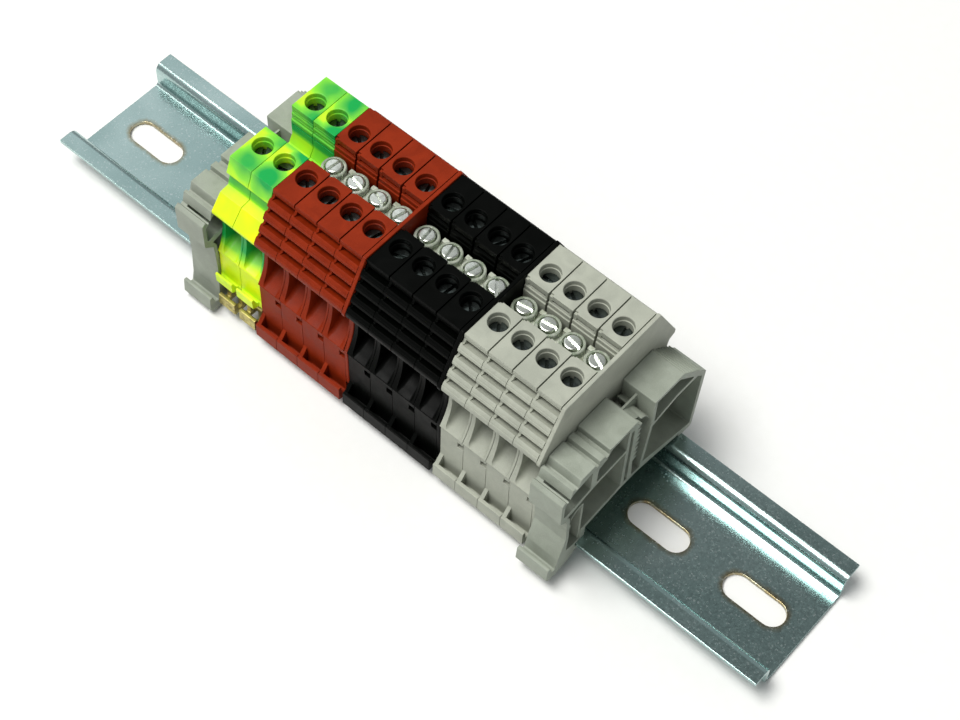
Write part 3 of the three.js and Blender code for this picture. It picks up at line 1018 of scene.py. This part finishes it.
def bracket_outline(out, up):
    """Side view of a bracket whose sprung near foot stands out and up from where it is when latched."""
    foot = [
        (-21.2, 0.9, 0.6),
        (-24.3, 0.9, 0.6),
        (-25.0, 1.9, 0.3),
        (-24.7, 5.8, 0.3),
        (-23.9, 5.8, 0.3),
        (-23.3, 3.4, 0.4),
        (-22.3, 3.2, 0.3),
        (-21.7, 6.2, 1.0),
    ]
    corners = [
        (-9.9, 34.2),
        (-9.9, 36.0, 0.25),
        (-1.2, 36.0, 0.25),
        (-1.2, 34.6),
        *ratchet(-0.8, 34.0, 19.4, 8, 1.1),
        (-0.4, 13.4),
        (2.2, 13.0),
        (4.0, 30.0),
        (4.0, 36.4, 0.25),
        *steps_down((12.6, 36.4), (19.6, 29.8), 7),
        (22.0, 27.2, 0.5),
        (20.7, 7.8, 0.6),
        (19.9, 6.8, 0.3),
        (19.4, 3.4, 0.4),
        (18.4, 3.0),
        (HOOK, LIP_UNDER - 1.6),
        (HOOK, LIP_UNDER),
        (LIP_EDGE, LIP_UNDER),
        (LIP_EDGE, LIP_OVER),
        (-LIP_EDGE, LIP_OVER),
        (-LIP_EDGE, LIP_UNDER),
        (-HOOK, LIP_UNDER),
        (-HOOK, LIP_UNDER - 1.4),
        (-19.4, 3.6),
        *((y - out, z + up, radius) for y, z, radius in foot),
        (-21.3, 14.0, 2.0),
        (-21.6, 22.4, 0.8),
        (-23.9, 24.4, 0.8),
        (-23.9, 31.6, 0.4),
        (-22.9, 32.3),
        (-22.3, 31.2),
        (-21.6, 31.5),
        (-20.9, 34.2),
        (-20.2, 34.2),
        (-19.8, 33.1),
        (-19.2, 33.3),
        (-18.6, 35.5, 0.3),
        (-14.2, 35.5, 0.2),
        (-13.9, 34.1),
        (-13.1, 34.1),
        (-12.9, 35.4, 0.15),
        (-11.3, 35.4, 0.15),
        (-11.1, 34.1),
    ]
    return rounded(corners)


def pocket(*corners):
    """A hollow that opens on the bracket's +X side."""
    return prism(rounded(corners), BRACKET_BACK, BRACKET_WIDTH + TINY)


def bracket_hollows():
    """Pockets between thin ribs, and the open space over the rail."""
    near_top = pocket(
        (-22.9, 25.8, 0.3), (-22.9, 30.4, 0.4), (-20.6, 32.6, 0.4),
        (-14.9, 33.6, 0.3), (-14.9, 27.0, 0.3),
    )
    near_deck = pocket(
        (-13.1, 27.3, 0.3), (-12.9, 32.2, 0.3), (-10.6, 33.0, 0.3),
        (-9.1, 35.1, 0.3), (-3.7, 35.2, 0.3), (-3.9, 27.8, 0.3),
    )
    near_low = pocket(
        (-20.7, 22.6, 0.3), (-21.6, 24.2, 0.3), (-13.8, 26.2, 0.4), (-3.9, 26.8, 0.3),
        (-3.9, 13.4, 0.3), (-16.3, 12.0, 0.3), (-16.3, 8.6, 0.3), (-18.6, 8.3, 0.3),
        (-20.6, 9.0, 0.5), (-20.3, 14.8, 0.5),
    )
    far_top = pocket(
        (4.9, 35.5, 0.3), (12.0, 35.4, 0.3), (17.8, 29.8, 0.3),
        (12.0, 29.8, 0.4), (5.0, 27.9, 0.3),
    )
    far_low = pocket(
        (4.6, 26.8, 0.3), (12.0, 28.7, 0.4), (18.8, 28.6, 0.3),
        (20.7, 26.7, 0.3), (19.8, 8.7, 0.3), (3.3, 14.1, 0.3),
    )
    below = pocket(
        (-14.9, 7.0), (-14.7, 10.9, 0.2), (-3.4, 12.2),
        (2.2, 12.0), (16.2, 8.6, 0.2), (16.2, 7.0),
    )
    far_hook = block(4.0, BRACKET_WIDTH + TINY, 16.4, 20.8, 2.5, 7.2)
    gap = block(2.4, BRACKET_WIDTH + TINY, -2.9, -1.9, 13.6, 33.4)
    return [near_top, near_deck, near_low, far_top, far_low, below, far_hook, gap]


def leaf(start, middle, end, thickness, x0, x1):
    """A thin curved blade along a bow, between two depths."""
    line = bow(start, middle, end)
    far = [Vector((p.x, p.y - thickness)) for p in reversed(line)]
    return prism(line + far, x0, x1)


def bracket_blades():
    """Sprung leg behind the foot, web between the towers and the arms of the grip on both its sides."""
    front, back = BRACKET_WIDTH - 0.25, BRACKET_BACK - 0.1
    web_back, web_front, thin = 3.3, 3.8, 0.45
    return [
        block(back, front, -16.8, -16.2, 8.0, 22.6),
        leaf((-16.3, 22.9), (-19.2, 22.2), (-20.5, 18.8), 0.6, back, front),
        block(back, front, -21.0, -19.8, 17.4, 18.7),
        leaf((-9.4, 34.3), (-11.0, 32.4), (-12.0, 29.6), thin, back, front - 0.4),
        block(web_back, web_front, -1.6, 4.6, 27.0, 34.7),
        leaf((-1.2, 34.4), (1.2, 33.2), (2.6, 30.0), thin, web_front - 0.1, front - 1.2),
        leaf((1.0, 33.3), (3.0, 32.0), (4.3, 29.0), thin, web_front - 0.1, front - 0.6),
        leaf((-1.2, 33.6), (0.6, 32.6), (2.2, 30.4), thin, 1.2, web_back + 0.1),
        leaf((1.6, 33.8), (2.9, 32.6), (4.3, 31.0), thin, 0.6, web_back + 0.1),
    ]


def bracket_shape(out, up):
    """End bracket: one moulding, hollowed from its +X side between ribs."""
    body = prism(bracket_outline(out, up), 0, BRACKET_WIDTH)
    return finished(joined(cut(body, *bracket_hollows()), *bracket_blades()), edge=0.07)


# ---------------------------------------------------------------- assembly

SHAPE = {
    "feed": feed_case(),
    "earth": earth_case(),
    "cover": cover_shape(),
    "screw": clamp_screw(),
    "cage": clamp_cage(),
    "bar": finished(current_bar(), edge=0.1),
    "foot": earth_foot(),
    "collar": bridge_collar(),
    "bridge_screw": bridge_screw(),
    "left": bracket_shape(out=0.0, up=0.0),
    "right": bracket_shape(**SPRUNG_FOOT),
}

BANKS = {"earth": 2, "red": 4, "black": 4, "grey": 4}
SLOT_DIRECTION = 42  # mean direction of the screw slots, in degrees
draw = random.Random(11)


def slot_turn(swing):
    """Where a screw was left: the mean direction, swung by chance."""
    return math.radians(SLOT_DIRECTION + draw.uniform(-swing, swing))


def terminal_block(name, kind):
    """One block: case, clamp screws and cages, and for an earth block its metal foot, which carries the
    current bar.
    """
    x = span(f"{name}_housing")[0].x
    case = SHAPE["earth" if kind == "earth" else "feed"]
    place(f"{name}_case", case, kind, (x, 0, 0), stands_for=f"{name}_housing")
    for where, side in (("near", -1), ("far", 1)):
        axis = (x + MIDDLE, side * SCREW_Y, 0)
        screw = f"{name}_{where}_clamp_screw"
        cage = f"{name}_{where}_clamp_cage" if kind == "earth" else None
        place(f"{name}_{where}_screw", SHAPE["screw"], "screw", axis, slot_turn(70), screw, screw)
        place(f"{name}_{where}_cage", SHAPE["cage"], "cage", axis, 0.0, cage or "root", cage)
    if kind == "earth":
        foot = f"{name}_rail_foot"
        place(f"{name}_metal_foot", SHAPE["foot"], "brass", (x + MIDDLE, 0, 0), stands_for=foot)


def cross_bridge(kind, count):
    """Bridge of one colour: bar, milky carrier, and a collar, screw and current bar at each block."""
    node = f"{kind}_cross_bridge"
    start = span(f"{kind}_1_housing")[0].x + MIDDLE
    place(f"{kind}_bridge_bar", bridge_strip(count), "bridge", (start, 0, 0), stands_for=node)
    place(f"{kind}_bridge_carrier", bridge_carrier(count), "carrier", (start, 0, 0), stands_for=node)
    for i in range(count):
        name, at = f"{kind}_{i + 1}", (start + i * PITCH, 0, 0)
        place(f"{name}_current_bar", SHAPE["bar"], "cage", at, stands_for=node)
        place(f"{name}_bridge_collar", SHAPE["collar"], "collar", at, stands_for=node)
        screw = SHAPE["bridge_screw"]
        place(f"{name}_bridge_screw", screw, "bridge", at, slot_turn(60), stands_for=node)


place("rail", rail_shape(), "rail", stands_for="din_rail")
for kind, count in BANKS.items():
    for number in range(1, count + 1):
        terminal_block(f"{kind}_{number}", kind)
    if kind != "earth":
        cross_bridge(kind, count)
        x = span(f"{kind}_end_cover")[0].x
        place(f"{kind}_cover", SHAPE["cover"], kind, (x, 0, 0), stands_for=f"{kind}_end_cover")
for side in ("left", "right"):
    node = f"end_bracket_{side}"
    at = (span(node)[0].x, 0, 0)
    place(f"{side}_bracket", SHAPE[side], "bracket", at, body=node, stands_for=node)

# ---------------------------------------------------------------- floor, light and camera


def floor():
    """Wide sheet of paper under the rail."""
    bm = bmesh.new()
    half, drop = 3.0, 0.0001
    signs = ((-1, -1), (1, -1), (1, 1), (-1, 1))
    bm.faces.new([bm.verts.new((x * half, y * half, -drop)) for x, y in signs])
    obj = bpy.data.objects.new("floor", mesh_of(bm))
    scene.collection.objects.link(obj)
    paint = Paint("paper")
    fibre = paint.noise(0.4, detail=3.0)
    paint.set(Base_Color=paint.mix(fibre, rgb(230, 230, 228), rgb(234, 234, 233)), Roughness=0.8)
    paint.shader.inputs["Specular IOR Level"].default_value = 0.1
    obj.data.materials.append(paint.material)


def softbox(name, at, size, power, colour):
    """Rectangular lamp that looks at the middle of the row."""
    aim = Vector((0, 0, 0.02))
    lamp = bpy.data.lights.new(name, "AREA")
    lamp.shape = "RECTANGLE"
    lamp.size, lamp.size_y = size
    lamp.energy = power
    lamp.color = colour
    obj = bpy.data.objects.new(name, lamp)
    obj.location = at
    obj.rotation_mode = "QUATERNION"
    obj.rotation_quaternion = (aim - Vector(at)).to_track_quat("-Z", "Y")
    scene.collection.objects.link(obj)


def room(ceiling, wall, edge):
    """Light of the room: even walls up to an edge, in degrees of elevation, and a darker ceiling."""
    blend = 6
    world = bpy.data.worlds.new("room")
    world.use_nodes = True
    nodes, links = world.node_tree.nodes, world.node_tree.links
    axes = nodes.new("ShaderNodeSeparateXYZ")
    links.new(nodes.new("ShaderNodeTexCoord").outputs["Generated"], axes.inputs[0])
    height = nodes.new("ShaderNodeMapRange")
    height.interpolation_type = "SMOOTHSTEP"
    links.new(axes.outputs["Z"], height.inputs["Value"])
    height.inputs["From Min"].default_value = math.sin(math.radians(edge - blend))
    height.inputs["From Max"].default_value = math.sin(math.radians(edge + blend))
    height.inputs["To Min"].default_value = wall
    height.inputs["To Max"].default_value = ceiling
    background = nodes["Background"]
    background.inputs["Color"].default_value = (0.96, 0.99, 1.0, 1.0)
    links.new(height.outputs["Result"], background.inputs["Strength"])
    scene.world = world


def camera(azimuth, elevation, distance, roll, lens, aim):
    """Camera that looks at a point, from a direction in degrees and a distance in metres."""
    lens_data = bpy.data.cameras.new("camera")
    lens_data.lens = lens
    lens_data.sensor_width = 36.0
    lens_data.clip_start = 0.01
    obj = bpy.data.objects.new("camera", lens_data)
    a, e = math.radians(azimuth), math.radians(elevation)
    back = Vector((math.sin(a) * math.cos(e), -math.cos(a) * math.cos(e), math.sin(e)))
    obj.location = Vector(aim) + back * distance
    obj.rotation_mode = "QUATERNION"
    level = (-back).to_track_quat("-Z", "Y")
    obj.rotation_quaternion = level @ Quaternion((0, 0, 1), math.radians(roll))
    scene.collection.objects.link(obj)
    scene.camera = obj


floor()
room(ceiling=0.12, wall=0.42, edge=58.0)
softbox("key", at=(-0.30, -0.36, 1.32), size=(0.8, 0.6), power=22.5, colour=(1.0, 0.995, 0.97))
softbox("left_panel", at=(-0.80, 0.50, 1.00), size=(0.6, 0.6), power=0.55, colour=(0.94, 0.98, 1.0))
camera(
    azimuth=38.82,
    elevation=57.84,
    distance=0.4411,
    roll=2.91,
    lens=75.5,
    aim=(0.00752, 0.00619, 0.0),
)
scene.view_settings.view_transform = "Standard"
